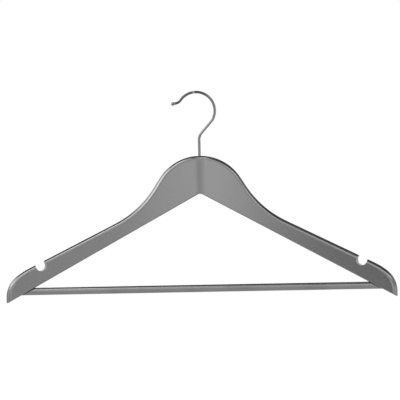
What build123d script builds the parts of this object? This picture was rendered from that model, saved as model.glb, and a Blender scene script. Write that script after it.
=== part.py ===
from build123d import *
import os
from math import asin, atan2, cos, degrees, radians, sin, sqrt, tan

os.makedirs("parts", exist_ok=True)

# A contoured wooden suit hanger with two strap notches and a trouser bar, on a wire swivel hook.
# Millimetres. +X runs along the hanger, +Z is up, and both shoulders sweep forward, towards -Y.
# The origin is the rail seat: the inside of the hook, straight above the axis that it swivels on.

# Hook: one wire, bent in the plane of the hanger, with a thread at its foot and a ball at its tip.
wire_diameter = 3.0
hook_radius = 21.8
hook_offset = 3.1
hook_arc_angle = 166
throat_radius = 15.0
throat_angle = 69
slant_angle = 49
stem_bend_radius = 12.0
stem_height = 18.7
lip_radius = 8.0
lip_angle = 43
lip_length = 4.0
ball_diameter = 4.2

# Shoulders, seen from the front: crown, neck, long straight shoulder, rounded tip, plain underside.
overall_width = 445.0
centre_height = 44.1
crown_radius = 55.5
neck_angle = 57.7
neck_straight = 11.8
neck_radius = 114.0
shoulder_angle = 26.5
ease_radius = 79.0
ease_angle = 38.5
tip_radius = 30.2
tip_end_height = 6.9
apex_radius = 5.0

# Shoulders, seen from above: a tight bend at the middle, then a long even bow to each tip.
board_thickness = 12.0
bend_radius = 60.0
bend_angle = 7
bow_radius = 1260.0

# Edges: a broad round along the top, where the cloth lies, and a small one along the underside.
top_round = 4.5
underside_round = 1.0

# Strap notches: a round cutter run straight through the board, just under the shoulder's top edge.
notch_to_tip = 38.3
notch_radius = 6.3
notch_centre_depth = 3.0

# Trouser bar, glued into a blind socket in each shoulder and pinned there from behind.
bar_diameter = 8.4
bar_exit_to_tip = 24.2
bar_end_chamfer = 0.5
socket_depth = 10.5
socket_end_gap = 0.5
glue_gap = 0.1
brad_diameter = 1.2
brad_head_diameter = 2.2
brad_head_height = 0.6
brad_length = 8.5
brad_setback = 4.0
brad_gap = 0.05

# Finger joint at the middle, where the two boards are glued into one, with tapered fingers.
finger_count = 4
finger_length = 18.0
finger_taper = 0.4
joint_gap = 0.05

# Swivel: the wire runs down through the joint, and a washer and a lock nut hold it from below.
swivel_clearance = 0.08
counterbore_diameter = 9.0
counterbore_depth = 9.0
washer_diameter = 7.0
washer_thickness = 0.5
washer_clearance = 0.1
washer_play = 0.1
nut_width = 5.5
nut_height = 2.4
nut_chamfer = 0.3
thread_gap = 0.02
thread_tail = 1.0
foot_chamfer = 0.3

# A face or edge counts as running along an axis from this share of its direction upwards.
facing_share = 0.5

# How far every cut runs past the wood that it goes through.
overrun = 5.0

# Places that follow from the sizes above, from the rail seat down.
wire_radius = wire_diameter / 2
hook_inside = hook_radius - wire_radius
hook_centre_z = -sqrt(hook_inside**2 - hook_offset**2)
throat_run = throat_radius * (sin(radians(throat_angle)) - sin(radians(slant_angle)))
throat_rise = throat_radius * (cos(radians(slant_angle)) - cos(radians(throat_angle)))
bend_run = stem_bend_radius * (1 - sin(radians(slant_angle)))
bend_rise = stem_bend_radius * cos(radians(slant_angle))
slant_run = hook_radius * sin(radians(throat_angle)) - hook_offset - throat_run - bend_run
slant_length = slant_run / cos(radians(slant_angle))
slant_rise = slant_length * sin(radians(slant_angle))
arc_rise = hook_radius * cos(radians(throat_angle))
stem_top_z = hook_centre_z - arc_rise - throat_rise - slant_rise - bend_rise
crown_z = stem_top_z - stem_height
apex_z = crown_z - centre_height

half_width = overall_width / 2
tip_run = tip_radius * (1 - sin(radians(ease_angle)))
ease_run = ease_radius * (sin(radians(ease_angle)) - sin(radians(shoulder_angle)))
shoulder_end_x = half_width - tip_run - ease_run
bend_end_x = bend_radius * sin(radians(bend_angle))
bend_end_y = bend_radius * (1 - cos(radians(bend_angle)))


def sweep_angle(x):
    """Angle, in degrees, between the board and the X axis at a distance x from the middle."""
    return degrees(asin(sin(radians(bend_angle)) + (x - bend_end_x) / bow_radius))


def sweep_y(x):
    """Y of the middle of the board at a distance x from the middle of the hanger."""
    bow = bow_radius * (cos(radians(bend_angle)) - cos(radians(sweep_angle(x))))
    return -bend_end_y - bow


def board_plane(side, x, z):
    """Plane on the middle of the board, square to it and facing forward."""
    angle = radians(sweep_angle(x))
    return Plane(
        origin=(side * x, sweep_y(x), z),
        x_dir=(cos(angle), -side * sin(angle), 0),
        z_dir=(-side * sin(angle), -cos(angle), 0),
    )


# Top edge of one shoulder, seen from the front, from the crown out to the upright end of the tip.
with BuildLine() as top_edge:
    crown = JernArc((0, crown_z), (1, 0), crown_radius, -neck_angle)
    neck_side = Line(crown @ 1, crown @ 1 + neck_straight * (crown % 1))
    neck = JernArc(neck_side @ 1, neck_side % 1, neck_radius, neck_angle - shoulder_angle)
    shoulder_length = (shoulder_end_x - (neck @ 1).X) / cos(radians(shoulder_angle))
    shoulder = Line(neck @ 1, neck @ 1 + shoulder_length * (neck % 1))
    ease = JernArc(shoulder @ 1, shoulder % 1, ease_radius, shoulder_angle - ease_angle)
    tip = JernArc(ease @ 1, ease % 1, tip_radius, ease_angle - 90)

# The underside runs straight from the bottom of the tip up to the rounded apex in the middle.
tip_bottom_z = (tip @ 1).Y - tip_end_height
apex_centre_rise = apex_z - apex_radius - tip_bottom_z
apex_centre_reach = sqrt(half_width**2 + apex_centre_rise**2)
apex_centre_angle = degrees(atan2(apex_centre_rise, half_width))
underside_angle = apex_centre_angle + degrees(asin(apex_radius / apex_centre_reach))
sharp_apex_z = tip_bottom_z + half_width * tan(radians(underside_angle))

board_back = board_thickness / 2
board_reach = board_thickness - sweep_y(half_width)
notch_x = half_width - notch_to_tip
bar_exit_x = half_width - bar_exit_to_tip
bar_half_length = bar_exit_x + socket_depth
bar_z = sharp_apex_z - bar_exit_x * tan(radians(underside_angle))
bar_y = sweep_y(bar_exit_x + socket_depth / 2)
brad_x = bar_half_length - brad_setback
counterbore_top_z = apex_z + counterbore_depth
washer_top_z = counterbore_top_z - washer_play
nut_top_z = washer_top_z - washer_thickness
hook_foot_z = nut_top_z - nut_height - thread_tail

# Wooden body, still in one piece: the plan of the bent board, cut to the front outline.
with BuildPart() as body:
    with BuildSketch(Plane.XY.offset(tip_bottom_z - overrun)):
        with BuildLine():
            bow_turn_angle = degrees((half_width + overrun) / bow_radius)
            back_bend = JernArc((0, board_back), (1, 0), bend_radius + board_back, -bend_angle)
            back_bow = JernArc(back_bend @ 1, back_bend % 1, bow_radius + board_back, -bow_turn_angle)
            front_bend = JernArc((0, -board_back), (1, 0), bend_radius - board_back, -bend_angle)
            front_bow = JernArc(front_bend @ 1, front_bend % 1, bow_radius - board_back, -bow_turn_angle)
            Line(back_bow @ 1, front_bow @ 1)
            mirror(about=Plane.YZ)
        make_face()
    extrude(amount=crown_z - tip_bottom_z + 2 * overrun)

    with BuildSketch(Plane.XZ) as front:
        with BuildLine():
            add(top_edge.line)
            tip_end = Line(tip @ 1, (half_width, tip_bottom_z))
            Line(tip_end @ 1, (0, sharp_apex_z))
            mirror(about=Plane.YZ)
        make_face()
        apex = front.vertices().sort_by_distance((0, sharp_apex_z))[0]
        fillet(apex, radius=apex_radius)
    extrude(amount=board_reach, both=True, mode=Mode.INTERSECT)

    # Round the long edges: first along the top and the tips, then all round the underside.
    rim = body.faces().filter_by(lambda face: abs(face.normal_at().Y) < facing_share)
    top_faces = rim.filter_by(lambda face: face.normal_at().Z > -facing_share)
    top_edges = top_faces.edges().filter_by(lambda edge: abs((edge % 0.5).Y) < facing_share)
    fillet(top_edges, radius=top_round)
    under_faces = body.faces().filter_by(lambda face: face.normal_at().Z < -facing_share)
    under_edges = under_faces.edges().filter_by(
        lambda edge: abs((edge % 0.5).Y) < facing_share or abs(edge.center().X) > shoulder_end_x
    )
    fillet(under_edges, radius=underside_round)

    # Strap notches, square to the board, with their centre just under the straight shoulder edge.
    notch_share = (notch_x - (shoulder @ 0).X) / ((shoulder @ 1).X - (shoulder @ 0).X)
    notch_z = (shoulder @ notch_share).Y - notch_centre_depth / cos(radians(shoulder_angle))
    for side in (-1, 1):
        with BuildSketch(board_plane(side, notch_x, notch_z)):
            Circle(notch_radius)
        extrude(amount=board_thickness, both=True, mode=Mode.SUBTRACT)

    # Blind sockets for the bar, bored along it from the middle of the hanger.
    with BuildSketch(Plane.YZ) as socket:
        with Locations((bar_y, bar_z)):
            Circle(bar_diameter / 2 + glue_gap)
    extrude(amount=bar_half_length + socket_end_gap, both=True, mode=Mode.SUBTRACT)

    # Brad holes, in from the back of each shoulder.
    for side in (-1, 1):
        with BuildSketch(board_plane(side, brad_x, bar_z).offset(-board_back)):
            Circle(brad_head_diameter / 2 + brad_gap)
        extrude(amount=brad_head_height + brad_gap, mode=Mode.SUBTRACT)
        with BuildSketch(board_plane(side, brad_x, bar_z).offset(-board_back)):
            Circle(brad_diameter / 2 + brad_gap)
        extrude(amount=brad_length + brad_gap, mode=Mode.SUBTRACT)

    # Bore for the hook, and the counterbore below it for the washer and the nut.
    with Locations((0, 0, counterbore_top_z)):
        Cylinder(
            wire_radius + swivel_clearance,
            crown_z - counterbore_top_z + overrun,
            align=(Align.CENTER, Align.CENTER, Align.MIN),
            mode=Mode.SUBTRACT,
        )
        Cylinder(
            counterbore_diameter / 2,
            counterbore_depth + overrun,
            align=(Align.CENTER, Align.CENTER, Align.MAX),
            mode=Mode.SUBTRACT,
        )

# Finger joint, seen from above: everything on the right of this zigzag is the right board's.
finger_reach = finger_length / 2
finger_pitch = board_thickness / finger_count
zigzag = [(finger_reach, -board_reach)]
for count in range(1, finger_count):
    finger_side = finger_reach * (-1) ** (count + 1)
    flank_y = -board_back + count * finger_pitch
    zigzag += [(finger_side, flank_y - finger_taper / 2), (-finger_side, flank_y + finger_taper / 2)]
zigzag.append((zigzag[-1][0], board_reach))

with BuildSketch(Plane.XY.offset(tip_bottom_z - overrun)) as right_side:
    with BuildLine():
        joint_line = Polyline(*zigzag)
        far_side = Polyline((half_width + overrun, board_reach), (half_width + overrun, -board_reach))
        Line(joint_line @ 1, far_side @ 0)
        Line(far_side @ 1, joint_line @ 0)
    make_face()

# Right shoulder: the right half of the body, with its fingers.
with BuildPart() as right_shoulder:
    add(body.part)
    extrude(right_side.sketch, amount=crown_z - tip_bottom_z + 2 * overrun, mode=Mode.INTERSECT)
right_shoulder.part.label = "right_shoulder"
export_step(right_shoulder.part, "parts/right_shoulder.step")

# Left shoulder: what is left of the body, less a hairline of glue along the fingers.
with BuildPart() as left_shoulder:
    add(body.part)
    with BuildSketch(Plane.XY.offset(tip_bottom_z - overrun)) as right_side_and_glue:
        add(right_side.sketch)
        offset(amount=joint_gap, kind=Kind.INTERSECTION)
    extrude(amount=crown_z - tip_bottom_z + 2 * overrun, mode=Mode.SUBTRACT)
left_shoulder.part.label = "left_shoulder"
export_step(left_shoulder.part, "parts/left_shoulder.step")

# Trouser bar: a round dowel with eased ends and a blind hole for each brad.
with BuildPart() as trouser_bar:
    with BuildSketch(Plane.YZ):
        with Locations((bar_y, bar_z)):
            Circle(bar_diameter / 2)
    extrude(amount=bar_half_length, both=True)
    end_rims = trouser_bar.edges().filter_by(GeomType.CIRCLE)
    chamfer(end_rims, length=bar_end_chamfer)
    for side in (-1, 1):
        with BuildSketch(board_plane(side, brad_x, bar_z).offset(-board_back)):
            Circle(brad_diameter / 2 + brad_gap)
        extrude(amount=brad_length + brad_gap, mode=Mode.SUBTRACT)
trouser_bar.part.label = "trouser_bar"
export_step(trouser_bar.part, "parts/trouser_bar.step")

# Bar brads: two headed nails, one through the back of each shoulder into the bar.
with BuildPart() as bar_brads:
    for side in (-1, 1):
        with BuildSketch(board_plane(side, brad_x, bar_z).offset(-board_back)):
            Circle(brad_head_diameter / 2)
        extrude(amount=brad_head_height)
        with BuildSketch(board_plane(side, brad_x, bar_z).offset(-board_back)):
            Circle(brad_diameter / 2)
        extrude(amount=brad_length)
bar_brads.part.label = "bar_brads"
export_step(bar_brads.part, "parts/bar_brads.step")

# Hook: the wire from its foot up the stem, out to the right, over the rail and down to the lip.
with BuildPart() as hook:
    with BuildLine(Plane.XZ) as wire:
        stem = Line((0, hook_foot_z), (0, stem_top_z))
        stem_bend = JernArc(stem @ 1, stem % 1, stem_bend_radius, slant_angle - 90)
        slant = Line(stem_bend @ 1, stem_bend @ 1 + slant_length * (stem_bend % 1))
        throat = JernArc(slant @ 1, slant % 1, throat_radius, throat_angle - slant_angle)
        round_part = JernArc(throat @ 1, throat % 1, hook_radius, hook_arc_angle)
        lip = JernArc(round_part @ 1, round_part % 1, lip_radius, -lip_angle)
        lip_end = Line(lip @ 1, lip @ 1 + lip_length * (lip % 1))
    with BuildSketch(Plane.XY.offset(hook_foot_z)):
        Circle(wire_radius)
    sweep()
    foot_rim = hook.edges().filter_by(GeomType.CIRCLE).sort_by(Axis.Z)[0]
    chamfer(foot_rim, length=foot_chamfer)
    with Locations(lip_end @ 1):
        Sphere(ball_diameter / 2)
hook.part.label = "hook"
export_step(hook.part, "parts/hook.step")

# Washer: it carries the shoulders on the nut and lets them turn.
with BuildPart() as hook_washer:
    with BuildSketch(Plane.XY.offset(nut_top_z)):
        Circle(washer_diameter / 2)
        Circle(wire_radius + washer_clearance, mode=Mode.SUBTRACT)
    extrude(amount=washer_thickness)
hook_washer.part.label = "hook_washer"
export_step(hook_washer.part, "parts/hook_washer.step")

# Lock nut: a hexagon with eased corners, run up the thread to the washer.
with BuildPart() as lock_nut:
    with BuildSketch(Plane.XY.offset(nut_top_z - nut_height)):
        RegularPolygon(nut_width / 2, side_count=6, major_radius=False)
    extrude(amount=nut_height)
    chamfer(lock_nut.faces().filter_by(Axis.Z).edges(), length=nut_chamfer)
    with Locations((0, 0, nut_top_z)):
        Cylinder(
            wire_radius + thread_gap,
            nut_height,
            align=(Align.CENTER, Align.CENTER, Align.MAX),
            mode=Mode.SUBTRACT,
        )
lock_nut.part.label = "lock_nut"
export_step(lock_nut.part, "parts/lock_nut.step")
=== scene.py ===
import math

import bmesh
import bpy
from mathutils import Matrix, Vector


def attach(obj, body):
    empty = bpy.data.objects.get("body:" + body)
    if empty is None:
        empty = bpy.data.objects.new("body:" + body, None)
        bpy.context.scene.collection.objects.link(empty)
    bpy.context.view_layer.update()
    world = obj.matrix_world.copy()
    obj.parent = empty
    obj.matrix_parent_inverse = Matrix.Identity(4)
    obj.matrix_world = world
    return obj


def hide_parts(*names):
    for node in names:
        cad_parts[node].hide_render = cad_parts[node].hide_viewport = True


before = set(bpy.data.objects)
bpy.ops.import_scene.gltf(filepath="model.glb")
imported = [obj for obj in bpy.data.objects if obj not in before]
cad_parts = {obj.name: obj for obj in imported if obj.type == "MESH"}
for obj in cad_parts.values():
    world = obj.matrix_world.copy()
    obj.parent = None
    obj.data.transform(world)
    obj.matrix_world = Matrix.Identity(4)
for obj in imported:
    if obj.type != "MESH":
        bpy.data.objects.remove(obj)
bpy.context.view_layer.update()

# ---------------------------------------------------------------------------------------------
# Camera. The hanger is seen straight on, level with the apex of its underside, through a long
# lens that is a degree out of level, so its right shoulder stands a little higher in the frame.
# ---------------------------------------------------------------------------------------------
sensor_width = 36.0
lens_in_sensor_widths = 5.0
camera_distance = 2.322
camera_roll = math.radians(1.07)
camera_right_of_apex = -0.00021
camera_above_apex = -0.00725

apex = Vector((0, 0, -0.116386))
camera_right = Vector((math.cos(camera_roll), 0, -math.sin(camera_roll)))
camera_up = Vector((math.sin(camera_roll), 0, math.cos(camera_roll)))
camera_back = Vector((0, -1, 0))
camera_place = (
    apex
    + camera_right * camera_right_of_apex
    + camera_up * camera_above_apex
    + camera_back * camera_distance
)

camera_data = bpy.data.cameras.new("camera")
camera_data.sensor_width = sensor_width
camera_data.lens = sensor_width * lens_in_sensor_widths
camera = bpy.data.objects.new("camera", camera_data)
camera.matrix_world = Matrix.Translation(camera_place) @ Matrix(
    (camera_right, camera_up, camera_back)
).transposed().to_4x4()
bpy.context.scene.collection.objects.link(camera)
bpy.context.scene.camera = camera
bpy.context.scene.view_settings.view_transform = "Standard"

# ---------------------------------------------------------------------------------------------
# Studio light. Rows of soft cards and flags stand round the hanger: an even front with a brighter
# strip on each side of the lens, big soft boxes high up on the left, and a flag over the right.
# ---------------------------------------------------------------------------------------------


class Value:
    """A node's socket that takes Python's own signs: each adds the Math node it stands for."""

    def __init__(self, tree, socket=None):
        self.tree, self.socket = tree, socket

    def node(self, kind, sockets, output=0, **settings):
        """Adds any node: its settings first, then the values or links of its sockets."""
        made = self.tree.nodes.new(kind)
        for name, setting in settings.items():
            setattr(made, name, setting)
        for key, value in sockets.items():
            if isinstance(value, Value):
                self.tree.links.new(value.socket, made.inputs[key])
            else:
                made.inputs[key].default_value = value
        return Value(self.tree, made.outputs[output]) if len(made.outputs) else None

    def math(self, operation, *values):
        return self.node("ShaderNodeMath", dict(enumerate(values)), operation=operation)

    def vector(self, operation, *values, output="Vector"):
        return self.node(
            "ShaderNodeVectorMath", dict(enumerate(values)), output=output, operation=operation
        )

    def __add__(self, other):
        return self.math("ADD", self, other)

    def __sub__(self, other):
        return self.math("SUBTRACT", self, other)

    def __rsub__(self, other):
        return self.math("SUBTRACT", other, self)

    def __mul__(self, other):
        return self.math("MULTIPLY", self, other)

    __radd__, __rmul__ = __add__, __mul__

    def fade(self, start, end, low=0.0, high=1.0):
        """Goes smoothly from low, at start, to high, at end."""
        return self.node(
            "ShaderNodeMapRange",
            {"Value": self, "From Min": start, "From Max": end, "To Min": low, "To Max": high},
            interpolation_type="SMOOTHSTEP",
        )

    def blend(self, low, high):
        """A colour that is low where this mask is 0, and high where it is 1."""
        return self.node(
            "ShaderNodeMix",
            {"Factor": self, "A": low, "B": high},
            output=2,
            data_type="RGBA",
        )

    def separate(self, axis):
        return self.node("ShaderNodeSeparateXYZ", {0: self}, output=axis)

    def seen(self, share_in_gloss):
        """1 to the camera, a share of it in gloss and through glass, and 0 to all other light."""
        camera_ray, glossy_ray, clear_ray = (
            self.node("ShaderNodeLightPath", {}, output=kind)
            for kind in ("Is Camera Ray", "Is Glossy Ray", "Is Transmission Ray")
        )
        return camera_ray + (glossy_ray + clear_ray) * share_in_gloss


world = bpy.data.worlds.new("studio")
bpy.context.scene.world = world
world.use_nodes = True
world.node_tree.nodes.clear()
sky = Value(world.node_tree)
towards = sky.node("ShaderNodeTexCoord", {}, output="Generated")

# Each bearing and height is in degrees, seen from the hanger. The lens is at bearing 0, and what
# stands on the left of the picture has a minus.
bearing = sky.math("ARCTAN2", towards.separate("X"), 0 - towards.separate("Y")) * math.degrees(1)
height = sky.math("ARCSINE", towards.separate("Z")) * math.degrees(1)


def row_of_light(lowest, highest, soft_upright, soft_across, steps):
    """A row of cards between two heights, as bright from each bearing on as its step says."""
    row, brightness = 0.0, 0.0
    for start, new_brightness in steps:
        change = new_brightness - brightness
        row = row + bearing.fade(start - soft_across, start + soft_across, 0, change)
        brightness = new_brightness
    bottom = height.fade(lowest - soft_upright, lowest + soft_upright)
    top = height.fade(highest - soft_upright, highest + soft_upright, 1, 0)
    return row * bottom * top


level_with_lens = row_of_light(
    lowest=-10, highest=10, soft_upright=3, soft_across=2,
    steps=[
        (-130, 0.44), (-95, 0.81), (-70, 1.20), (-50, 0.91), (-36, 0.00), (-28, 0.31), (-22, 0.66),
        (-17, 1.44), (-12, 1.06), (-6, 0.87), (0, 0.77), (6, 1.08), (12, 1.30), (17, 0.77),
        (22, 0.82), (28, 0.64), (36, 1.16), (50, 1.21), (70, 0.81), (130, 0.00),
    ],
)
over_lens = row_of_light(
    lowest=10, highest=25, soft_upright=4, soft_across=6,
    steps=[
        (-130, 0.73), (-80, 1.15), (-45, 0.87), (-15, 0.71), (15, 0.46), (45, 0.56), (130, 0.00),
    ],
)
high = row_of_light(
    lowest=25, highest=42, soft_upright=5, soft_across=5,
    steps=[
        (-130, 1.56), (-90, 1.90), (-65, 3.30), (-50, 3.60), (-35, 2.10), (-15, 1.43), (15, 1.85),
        (45, 0.38), (130, 0.00),
    ],
)
higher = row_of_light(
    lowest=42, highest=56, soft_upright=5, soft_across=5,
    steps=[
        (-130, 1.23), (-95, 1.69), (-70, 2.12), (-50, 2.07), (-30, 1.30), (-10, 0.30), (20, 0.10),
        (130, 0.00),
    ],
)
overhead = row_of_light(
    lowest=56, highest=68, soft_upright=4, soft_across=6,
    steps=[
        (-55, 3.87), (-30, 3.12), (0, 0.00),
    ],
)
above = row_of_light(
    lowest=68, highest=96, soft_upright=5, soft_across=6,
    steps=[
        (-90, 0.45), (0, 0.25), (90, 0.00),
    ],
)
studio = level_with_lens + over_lens + high + higher + overhead + above

# White paper hangs far behind the hanger. The camera sees it all round, and what shines sees it
# as far as the sheet reaches.
paper_half_width = 34
paper_half_height = 26
paper_soft_edge = 2
off_lens = sky.math("ABSOLUTE", bearing)
off_level = sky.math("ABSOLUTE", height)
behind = off_lens.fade(
    180 - paper_half_width - paper_soft_edge, 180 - paper_half_width + paper_soft_edge
)
paper = behind * off_level.fade(
    paper_half_height - paper_soft_edge, paper_half_height + paper_soft_edge, 1, 0
)
white = sky.node("ShaderNodeBackground", {"Color": (1, 1, 1, 1), "Strength": 1.0})
lit = sky.node("ShaderNodeBackground", {"Color": (1, 1, 1, 1), "Strength": studio})
surroundings = sky.node("ShaderNodeMixShader", {0: sky.seen(paper), 1: lit, 2: white})
sky.node("ShaderNodeOutputWorld", {"Surface": surroundings})

# ---------------------------------------------------------------------------------------------
# Floor. A plain white studio floor far below the hanging hanger, which only keeps its shadow.
# What shines sees it less than half as bright as the camera does. It is clear from below.
# ---------------------------------------------------------------------------------------------
floor_drop = 0.95
floor_half_side = 12.0
floor_in_gloss = 0.43
floor_grey = (0.6, 0.6, 0.6, 1)
floor_glow = 0.75

floor_data = bpy.data.meshes.new("floor")
floor_data.from_pydata(
    [
        (x * floor_half_side, y * floor_half_side, -floor_drop)
        for x, y in ((-1, -1), (1, -1), (1, 1), (-1, 1))
    ],
    [],
    [(0, 1, 2, 3)],
)
floor = bpy.data.objects.new("floor", floor_data)
bpy.context.scene.collection.objects.link(floor)
floor_paint = bpy.data.materials.new("floor_paint")
floor_paint.use_nodes = True
floor_paint.node_tree.nodes.clear()
paint = Value(floor_paint.node_tree)
matt = paint.node("ShaderNodeBsdfDiffuse", {"Color": floor_grey})
glow = paint.node("ShaderNodeEmission", {"Color": (1, 1, 1, 1), "Strength": floor_glow})
both = paint.node("ShaderNodeAddShader", {0: matt, 1: glow})
shown = paint.node("ShaderNodeMixShader", {0: paint.seen(floor_in_gloss), 1: matt, 2: both})
from_below = paint.node("ShaderNodeNewGeometry", {}, output="Backfacing")
clear = paint.node("ShaderNodeBsdfTransparent", {})
one_sided = paint.node("ShaderNodeMixShader", {0: from_below, 1: shown, 2: clear})
paint.node("ShaderNodeOutputMaterial", {"Surface": one_sided})
floor_data.materials.append(floor_paint)

# ---------------------------------------------------------------------------------------------
# Shoulders. Two bent beech boards, finger-jointed and glued into one, bored for the hook, sanded
# and sprayed silver-grey. The notches are milled before the spray, the counterbore after it.
# ---------------------------------------------------------------------------------------------
arm_slope = math.radians(26.5)
notch_x = 0.1842
notch_y = -0.035158
notch_z = -0.195186
notch_sweep = math.radians(15.204)
notch_radius = 0.0063
counterbore_radius = 0.0045
counterbore_top = -0.107386
hook_bore_radius = 0.00158


def new_material(name):
    """An empty node material, with a Value to build it from."""
    material = bpy.data.materials.new(name)
    material.use_nodes = True
    material.node_tree.nodes.clear()
    return material, Value(material.node_tree)


def finish_material(value, sockets):
    surface = value.node("ShaderNodeBsdfPrincipled", sockets)
    value.node("ShaderNodeOutputMaterial", {"Surface": surface})


def put_on(name, material):
    """Gives a CAD node's object one material."""
    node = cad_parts[name]
    node.data.materials.clear()
    node.data.materials.append(material)


def from_axis(place, through, direction):
    """How far a place is from a straight line that runs through a point in a direction."""
    across = place.vector("SUBTRACT", place, through)
    return place.vector("LENGTH", place.vector("CROSS_PRODUCT", across, direction), output="Value")


def noise(value, place, scale, detail, turn=0.0):
    """Noise with its own scale along X, Y and Z, or one for all, turned about Y by an angle."""
    if not isinstance(scale, tuple):
        return value.node("ShaderNodeTexNoise", {"Vector": place, "Scale": scale, "Detail": detail})
    along = value.node(
        "ShaderNodeMapping", {"Vector": place, "Rotation": (0, turn, 0), "Scale": scale}
    )
    return value.node("ShaderNodeTexNoise", {"Vector": along, "Scale": 1.0, "Detail": detail})


silver_thin = (0.250, 0.250, 0.254, 1)
silver_full = (0.288, 0.288, 0.293, 1)
silver_rubbed = (0.340, 0.338, 0.336, 1)
silver_shaded_dull = (0.235, 0.235, 0.238, 1)
beech_pale = (0.560, 0.365, 0.215, 1)
beech_dark = (0.380, 0.215, 0.110, 1)

# How many there are of each in a metre, along the grain and across it.
grain_per_metre = (42, 900, 900)
pores_per_metre = (420, 4200, 4200)
streaks_per_metre = (160, 2600, 2600)
clouds_per_metre = 26.0
rubs_per_metre = 75.0
peel_per_metre = 620.0
flakes_per_metre = 5200.0
patches_per_metre = 900.0

lacquer_metal = 0.85
lacquer_roughness = 0.145
lacquer_relief = 0.00002


def spray(name, grain_turn):
    """Silver-grey lacquer over beech, whose grain runs along X, turned by grain_turn about Y.

    Gives the material, its Value, the place on the piece, and the coat, which a piece may change
    before finish_spray is called.
    """
    material, value = new_material(name)
    place = value.node("ShaderNodeTexCoord", {}, output="Object")
    facing = value.node("ShaderNodeTexCoord", {}, output="Normal").separate("Y")
    grain = noise(value, place, grain_per_metre, 4.0, grain_turn)
    pores = noise(value, place, pores_per_metre, 2.0, grain_turn).fade(0.66, 0.74)
    cloud = noise(value, place, clouds_per_metre, 3.0)
    peel = noise(value, place, peel_per_metre, 1.0)
    flake = value.node(
        "ShaderNodeTexVoronoi", {"Vector": place, "Scale": flakes_per_metre}, output="Color"
    )
    flake = value.node("ShaderNodeSeparateColor", {0: flake}, output="Red")

    # The spray lies a little thinner on the rounded edges, and handling has polished it there.
    rim = value.math("ABSOLUTE", facing).fade(0.90, 0.45)
    handled = noise(value, place, rubs_per_metre, 4.0).fade(0.50, 0.66) * rim
    shade = cloud * 0.50 + grain * 0.30 + flake * 0.20
    color = shade.blend(silver_thin, silver_full)
    coat = {
        "cloud": cloud,
        "color": (handled * 0.45).blend(color, silver_rubbed),
        "roughness": lacquer_roughness + cloud * 0.045 + pores * 0.12 - handled * 0.02,
        "metal": lacquer_metal,
        "skin": grain * 0.30 + peel * 0.30 + flake * 0.08 - pores * 0.30,
    }
    return material, value, place, coat


def finish_spray(value, coat):
    bump = value.node(
        "ShaderNodeBump", {"Height": coat["skin"], "Strength": 0.25, "Distance": lacquer_relief}
    )
    finish_material(
        value,
        {
            "Base Color": coat["color"],
            "Metallic": coat["metal"],
            "Roughness": coat["roughness"],
            "Normal": bump,
        },
    )


def shoulder_lacquer(name, grain_turn, side):
    """One shoulder's lacquer, on side -1 or 1: rubbed where things hang, and bare where bored."""
    material, value, place, coat = spray(name, grain_turn)
    swept = (-side * math.sin(notch_sweep), -math.cos(notch_sweep), 0)
    to_notch = from_axis(place, (side * notch_x, notch_y, notch_z), swept)
    to_stem = from_axis(place, (0, 0, 0), (0, 0, 1))
    patchy = noise(value, place, patches_per_metre, 3.0)

    # Hanging loops have rubbed the rim of the notch, and the hook the mouth of its bore.
    notch_rim = (to_notch + patchy * 0.0006).fade(notch_radius + 0.0010, notch_radius + 0.0002)
    notch_rim = notch_rim * patchy.fade(0.35, 0.60)
    bore_rim = (to_stem + patchy * 0.0008).fade(
        hook_bore_radius + 0.0012, hook_bore_radius + 0.0003
    )
    coat["color"] = (notch_rim * 0.6 + bore_rim * 0.5).blend(coat["color"], silver_rubbed)

    # Painted shade darkens the wall inside the notch, and the milled end grain makes it rougher
    # there.
    notch_wall_dull_and_shaded = to_notch.fade(notch_radius + 0.0004, notch_radius + 0.0001)
    coat["color"] = notch_wall_dull_and_shaded.blend(coat["color"], silver_shaded_dull)
    coat["roughness"] = coat["roughness"] + notch_wall_dull_and_shaded * 0.13

    # Bare beech in the counterbore and the bore, with a ragged edge of lacquer round its mouth.
    low = place.separate("Z").fade(counterbore_top + 0.0002, counterbore_top - 0.0002)
    drilled = (to_stem + patchy * 0.0004).fade(
        counterbore_radius + 0.00032, counterbore_radius + 0.00022
    )
    bored = to_stem.fade(hook_bore_radius + 0.00022, hook_bore_radius + 0.00002)
    bare = value.math("MAXIMUM", drilled * low, bored)
    streaks = noise(value, place, streaks_per_metre, 3.0, grain_turn)
    beech = streaks.fade(0.35, 0.65).blend(beech_dark, beech_pale)
    coat["color"] = bare.blend(coat["color"], beech)
    coat["roughness"] = coat["roughness"] + bare * 0.45
    coat["metal"] = lacquer_metal - bare * lacquer_metal
    coat["skin"] = coat["skin"] + bare * streaks
    finish_spray(value, coat)
    return material


put_on("left_shoulder", shoulder_lacquer("lacquer_left", arm_slope, side=-1))
put_on("right_shoulder", shoulder_lacquer("lacquer_right", -arm_slope, side=1))

# ---------------------------------------------------------------------------------------------
# Trouser bar. A turned beech dowel, glued into a blind socket in each shoulder, and sprayed with
# them in one pass, so it has the same lacquer with its grain running along it.
# ---------------------------------------------------------------------------------------------
bar_exit_x = 0.1983
bar_z = -0.224437
painted_crease_shadow = (0.045, 0.042, 0.040, 1)

bar_lacquer, value, place, coat = spray("lacquer_bar", 0.0)

# Painted shadow darkens the bar in the crease where it goes into the shoulders, and makes it
# rougher there.
from_exit = bar_exit_x - value.math("ABSOLUTE", place.separate("X"))
over_bar = place.separate("Z") - bar_z
to_shoulder = from_exit * math.sin(arm_slope) - over_bar * math.cos(arm_slope)
corner = (to_shoulder + coat["cloud"] * 0.0004).fade(0.0016, 0.0005)
coat["color"] = corner.blend(coat["color"], painted_crease_shadow)
coat["roughness"] = coat["roughness"] + corner * 0.30

# Trousers drawn over the bar have polished it a little brighter than the shoulders.
slid = (1 - corner) * coat["cloud"].fade(0.30, 0.60) * 0.55
coat["color"] = slid.blend(coat["color"], silver_rubbed)
finish_spray(value, coat)
put_on("trouser_bar", bar_lacquer)
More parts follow.
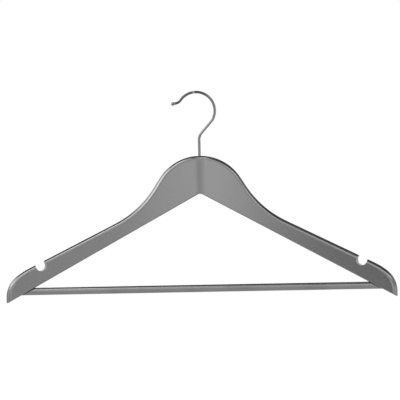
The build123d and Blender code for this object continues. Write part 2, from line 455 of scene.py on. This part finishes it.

# ---------------------------------------------------------------------------------------------
# Hook. One length of 3 mm steel wire: bent cold round three formers, with a ball swaged on its
# tip and an M3 thread cut on its foot, then polished and chromed. Its top arc has painted shade,
# worn a little rougher by the rail, and one painted highlight.
# ---------------------------------------------------------------------------------------------
wire_radius = 0.0015
wire_sides = 32
foot_z = -0.111386
foot_chamfer = 0.0003
ball_radius = 0.0021
thread_length = 0.0036
thread_pitch = 0.0005
thread_depth = thread_pitch / 2
thread_core = wire_radius - thread_depth
ring_gap = 0.0007
ring_turn = math.radians(3)
ball_neck = math.asin(wire_radius / ball_radius)
stem_length = 0.0578
kink_radius, kink_turn = 0.0120, -41
slant_length = 0.01772
cheek_radius, cheek_turn = 0.0150, 20
rail_arc_radius, rail_arc_turn = 0.0218, 166
lip_radius, lip_turn = 0.0080, -43
tip_length = 0.0040

# The wire from its foot up: each piece of it is a run of some length, or a bend of some radius
# that turns left by some degrees, and comes out with some thickness.
wire_pieces = [
    (foot_chamfer, 0, thread_core),
    (thread_length, 0, thread_core),
    (thread_depth, 0, wire_radius),
    (stem_length - foot_chamfer - thread_length - thread_depth, 0, wire_radius),
    (kink_radius, kink_turn, wire_radius),
    (slant_length, 0, wire_radius),
    (cheek_radius, cheek_turn, wire_radius),
    (rail_arc_radius, rail_arc_turn, wire_radius),
    (lip_radius, lip_turn, wire_radius),
    (tip_length - ball_radius * math.cos(ball_neck), 0, wire_radius),
]

rings = [(Vector((0, 0, foot_z)), math.radians(90), thread_core - foot_chamfer)]
for size, turn, thickness in wire_pieces:
    start, heading, start_thickness = rings[-1]
    ahead = Vector((math.cos(heading), 0, math.sin(heading)))
    left = Vector((-math.sin(heading), 0, math.cos(heading)))
    turn = math.radians(turn)
    count = max(1, math.ceil(abs(turn) / ring_turn if turn else size / ring_gap))
    for step in range(1, count + 1):
        share = step / count
        if turn:
            angle = turn * share
            side = math.copysign(size, turn)
            place = start + ahead * side * math.sin(angle) + left * side * (1 - math.cos(angle))
        else:
            angle = 0
            place = start + ahead * size * share
        thick = start_thickness + (thickness - start_thickness) * share
        rings.append((place, heading + angle, thick))

# The ball: rings round the line that the wire ends on, from where it leaves the wire to its pole.
end, heading, _ = rings[-1]
ahead = Vector((math.cos(heading), 0, math.sin(heading)))
ball_centre = end + ahead * ball_radius * math.cos(ball_neck)
ball_rings = 14
for step in range(1, ball_rings):
    angle = ball_neck + (math.pi - ball_neck) * step / ball_rings
    place = ball_centre - ahead * ball_radius * math.cos(angle)
    rings.append((place, heading, ball_radius * math.sin(angle)))
pole = ball_centre + ahead * ball_radius

wire = bmesh.new()
around_and_along = wire.loops.layers.uv.new("around_and_along")
loops_of_points = []
length_so_far, last_place = 0.0, rings[0][0]
for place, heading, thick in rings:
    length_so_far += (place - last_place).length
    last_place = place
    left = Vector((-math.sin(heading), 0, math.cos(heading)))
    points = []
    for count in range(wire_sides):
        angle = math.tau * count / wire_sides
        outward = left * math.cos(angle) + Vector((0, 1, 0)) * math.sin(angle)
        points.append(wire.verts.new(place + outward * thick))
    loops_of_points.append((points, length_so_far))


def lay_on(face, places):
    """Writes how far round and how far along the wire each corner of a face is."""
    for loop, place in zip(face.loops, places):
        loop[around_and_along].uv = place


for (lower, low), (upper, high_up) in zip(loops_of_points[:-1], loops_of_points[1:]):
    for count in range(wire_sides):
        after = (count + 1) % wire_sides
        face = wire.faces.new((lower[count], lower[after], upper[after], upper[count]))
        first, second = count / wire_sides, (count + 1) / wire_sides
        lay_on(face, ((first, low), (second, low), (second, high_up), (first, high_up)))
for (points, along), tip in ((loops_of_points[0], rings[0][0]), (loops_of_points[-1], pole)):
    centre = wire.verts.new(tip)
    for count in range(wire_sides):
        after = (count + 1) % wire_sides
        lay_on(wire.faces.new((points[count], points[after], centre)), ((0, along),) * 3)
bmesh.ops.remove_doubles(wire, verts=wire.verts, dist=1e-7)
bmesh.ops.recalc_face_normals(wire, faces=wire.faces)


def new_piece(name, shape, material, sharp=math.radians(35)):
    """An object of its own from a bmesh, smooth but for its sharp edges, with one material."""
    mesh = bpy.data.meshes.new(name)
    shape.to_mesh(mesh)
    shape.free()
    mesh.shade_smooth()
    mesh.set_sharp_from_angle(angle=sharp)
    mesh.materials.append(material)
    piece = bpy.data.objects.new(name, mesh)
    bpy.context.scene.collection.objects.link(piece)
    return piece


chrome_dark = (0.225, 0.227, 0.232, 1)
chrome_light = (0.275, 0.277, 0.282, 1)
chrome_shaded = (0.085, 0.085, 0.087, 1)
chrome_painted_glint = (0.420, 0.420, 0.425, 1)
chrome_roughness = 0.085
chrome_relief = 0.00001
haze_per_metre = 160.0

# How many marks there are round the wire, and how many in a metre along it.
polish_marks = (9, 260, 1)
scratch_marks = (60, 900, 1)

# Each pair says where the wear and painted shade, or the painted highlight, starts, and where it is
# full.
wear_and_shade_z = (-0.019, -0.012)
wear_and_shade_x = (0.0150, 0.0070)
wear_and_shade_from_ball = (ball_radius + 0.0002, ball_radius + 0.0012)
glint_spot = (-0.0056, -0.0012, 0.0012)
glint_radius = (0.0019, 0.0008)

chrome, value = new_material("chrome")
place = value.node("ShaderNodeTexCoord", {}, output="Object")
on_wire = value.node("ShaderNodeTexCoord", {}, output="UV")
haze = noise(value, place, haze_per_metre, 3.0)
polish = noise(value, on_wire, polish_marks, 3.0)
scratches = noise(value, on_wire, scratch_marks, 2.0).fade(0.60, 0.70)
color = haze.blend(chrome_dark, chrome_light)

# Painted shade darkens the arc as far as the ball, where rails have also worn it rougher and
# scratched it.
ragged = haze * 0.004
worn_and_shaded = (place.separate("Z") + ragged).fade(*wear_and_shade_z)
worn_and_shaded = worn_and_shaded * (place.separate("X") + ragged).fade(*wear_and_shade_x)
to_ball = place.vector("DISTANCE", place, tuple(ball_centre), output="Value")
worn_and_shaded = worn_and_shaded * to_ball.fade(*wear_and_shade_from_ball)
color = (worn_and_shaded * 0.8).blend(color, chrome_shaded)
# A painted highlight: one spot on the top of the arc is painted bright.
to_glint = place.vector("DISTANCE", place, glint_spot, output="Value")
color = to_glint.fade(*glint_radius).blend(color, chrome_painted_glint)
roughness = (
    chrome_roughness + haze * 0.05 + polish * 0.03 + worn_and_shaded * 0.06 + scratches * worn_and_shaded * 0.15
)
bump = value.node(
    "ShaderNodeBump",
    {"Height": polish + scratches * worn_and_shaded, "Strength": 0.15, "Distance": chrome_relief},
)
finish_material(
    value, {"Base Color": color, "Metallic": 1.0, "Roughness": roughness, "Normal": bump}
)

hook_wire = new_piece("hook_wire", wire, chrome)
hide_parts("hook")
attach(hook_wire, "hook_body")

# The thread winds up the wire's foot: a sharp ridge that follows a spiral.
thread_sizes = {
    "Root radius": thread_core,
    "Ridge depth": thread_depth,
    "Height": thread_length - 2 * thread_depth,
    "Turns": (thread_length - 2 * thread_depth) / thread_pitch,
    "Start height": foot_z + foot_chamfer + thread_depth,
}
steps_per_turn = 36
ridge_sides = 4

thread_tree = bpy.data.node_groups.new("thread_ridge", "GeometryNodeTree")
thread_tree.is_modifier = True
thread_tree.interface.new_socket("Geometry", in_out="INPUT", socket_type="NodeSocketGeometry")
thread_tree.interface.new_socket("Geometry", in_out="OUTPUT", socket_type="NodeSocketGeometry")
sockets = {
    name: thread_tree.interface.new_socket(name, in_out="INPUT", socket_type="NodeSocketFloat")
    for name in thread_sizes
}
thread = Value(thread_tree)
given = {name: thread.node("NodeGroupInput", {}, output=name) for name in thread_sizes}
spiral = thread.node(
    "GeometryNodeCurveSpiral",
    {
        "Start Radius": given["Root radius"],
        "End Radius": given["Root radius"],
        "Height": given["Height"],
        "Rotations": given["Turns"],
        "Resolution": steps_per_turn,
    },
)
upright = thread.node("GeometryNodeSetCurveNormal", {"Curve": spiral}, mode="Z_UP")
ridge = thread.node(
    "GeometryNodeCurvePrimitiveCircle",
    {"Radius": given["Ridge depth"], "Resolution": ridge_sides},
)
swept = thread.node(
    "GeometryNodeCurveToMesh", {"Curve": upright, "Profile Curve": ridge, "Fill Caps": True}
)
lift = thread.node("ShaderNodeCombineXYZ", {"Z": given["Start height"]})
lifted = thread.node("GeometryNodeTransform", {"Geometry": swept, "Translation": lift})
real = thread.node("GeometryNodeRealizeInstances", {"Geometry": lifted})
finished = thread.node("GeometryNodeSetMaterial", {"Geometry": real, "Material": chrome})
thread.node("NodeGroupOutput", {"Geometry": finished})


def grow(name, tree, sockets, sizes):
    """An object with the plain mesh that a geometry tree makes from its sizes."""
    piece = bpy.data.objects.new(name, bpy.data.meshes.new(name + "_seed"))
    bpy.context.scene.collection.objects.link(piece)
    modifier = piece.modifiers.new(name, "NODES")
    modifier.node_group = tree
    for key, size in sizes.items():
        modifier[sockets[key].identifier] = size
    seen = piece.evaluated_get(bpy.context.evaluated_depsgraph_get())
    mesh = bpy.data.meshes.new_from_object(seen)
    piece.modifiers.clear()
    piece.data = mesh
    mesh.name = name
    return piece


hook_thread = grow("hook_thread", thread_tree, sockets, thread_sizes)
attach(hook_thread, "hook_body")

# ---------------------------------------------------------------------------------------------
# Washer. A stamped zinc-plated ring between the nut and the roof of the counterbore. The wood
# turns on it.
# ---------------------------------------------------------------------------------------------
zinc_dark = (0.400, 0.405, 0.420, 1)
zinc_light = (0.600, 0.600, 0.595, 1)
zinc_yellowed = (0.520, 0.490, 0.400, 1)
zinc_roughness = 0.28
zinc_relief = 0.00002
zinc_haze_per_metre = 900.0
zinc_tints_per_metre = 340.0


def zinc(name, painted_back=0.0):
    """Zinc plate, dull and a little patchy. What faces the back may have caught the spray."""
    material, value = new_material(name)
    place = value.node("ShaderNodeTexCoord", {}, output="Object")
    haze = noise(value, place, zinc_haze_per_metre, 4.0)
    tint = noise(value, place, zinc_tints_per_metre, 2.0)
    color = haze.blend(zinc_dark, zinc_light)
    color = (tint.fade(0.45, 0.75) * 0.35).blend(color, zinc_yellowed)
    roughness = zinc_roughness + haze * 0.20
    if painted_back:
        back = value.node("ShaderNodeTexCoord", {}, output="Normal").separate("Y")
        painted = back.fade(0.3, 0.7) * painted_back
        color = painted.blend(color, tint.blend(silver_thin, silver_full))
    bump = value.node("ShaderNodeBump", {"Height": haze, "Strength": 0.2, "Distance": zinc_relief})
    finish_material(
        value, {"Base Color": color, "Metallic": 1.0, "Roughness": roughness, "Normal": bump}
    )
    return material


put_on("hook_washer", zinc("zinc_washer"))

# ---------------------------------------------------------------------------------------------
# Lock nut. An M3 hexagon, turned to a cone at both faces. Three punch marks round its bore pinch
# its thread, so that it stays where it was set and the hook still turns.
# ---------------------------------------------------------------------------------------------
nut_top = -0.107986
nut_bottom = nut_top - 0.0024
nut_half_width = 0.00275
nut_bore = 0.00152
nut_lead_in = 0.00025
nut_face_radius = 0.00262
cone_slope = math.tan(math.radians(30))
punch_radius = 0.0020
punch_depth = 0.00018
punch_half_width = math.radians(12)
nut_steps = 144

nut = bmesh.new()
slices = []
for count in range(nut_steps):
    angle = math.tau * count / nut_steps
    off_flat = angle % math.radians(60) - math.radians(30)
    reach = nut_half_width / math.cos(off_flat)
    cone = (reach - nut_face_radius) * cone_slope
    off_mark = (angle + math.radians(30)) % math.radians(120) - math.radians(60)
    dent = punch_depth * max(0.0, 1 - (off_mark / punch_half_width) ** 2)
    outline = [
        (nut_bore, nut_top - nut_lead_in),
        (nut_bore + nut_lead_in, nut_top),
        (nut_face_radius, nut_top),
        (reach, nut_top - cone),
        (reach, nut_bottom + cone),
        (nut_face_radius, nut_bottom),
        (punch_radius + punch_depth, nut_bottom),
        (punch_radius, nut_bottom + dent),
        (nut_bore + nut_lead_in, nut_bottom + dent),
        (nut_bore, nut_bottom + nut_lead_in + dent),
    ]
    slices.append([
        nut.verts.new((radius * math.cos(angle), radius * math.sin(angle), z))
        for radius, z in outline
    ])
for count in range(nut_steps):
    here, there = slices[count], slices[(count + 1) % nut_steps]
    for corner in range(len(here)):
        after = (corner + 1) % len(here)
        nut.faces.new((here[corner], there[corner], there[after], here[after]))
bmesh.ops.recalc_face_normals(nut, faces=nut.faces)

lock_nut = new_piece("lock_nut_hexagon", nut, zinc("zinc_nut"), sharp=math.radians(20))
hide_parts("lock_nut")
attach(lock_nut, "hook_body")

# ---------------------------------------------------------------------------------------------
# Brads. Two headed steel nails, one driven through the back of each shoulder into the bar's end,
# flush with the wood. Their heads caught the silver spray.
# ---------------------------------------------------------------------------------------------
put_on("bar_brads", zinc("zinc_brads", painted_back=0.85))
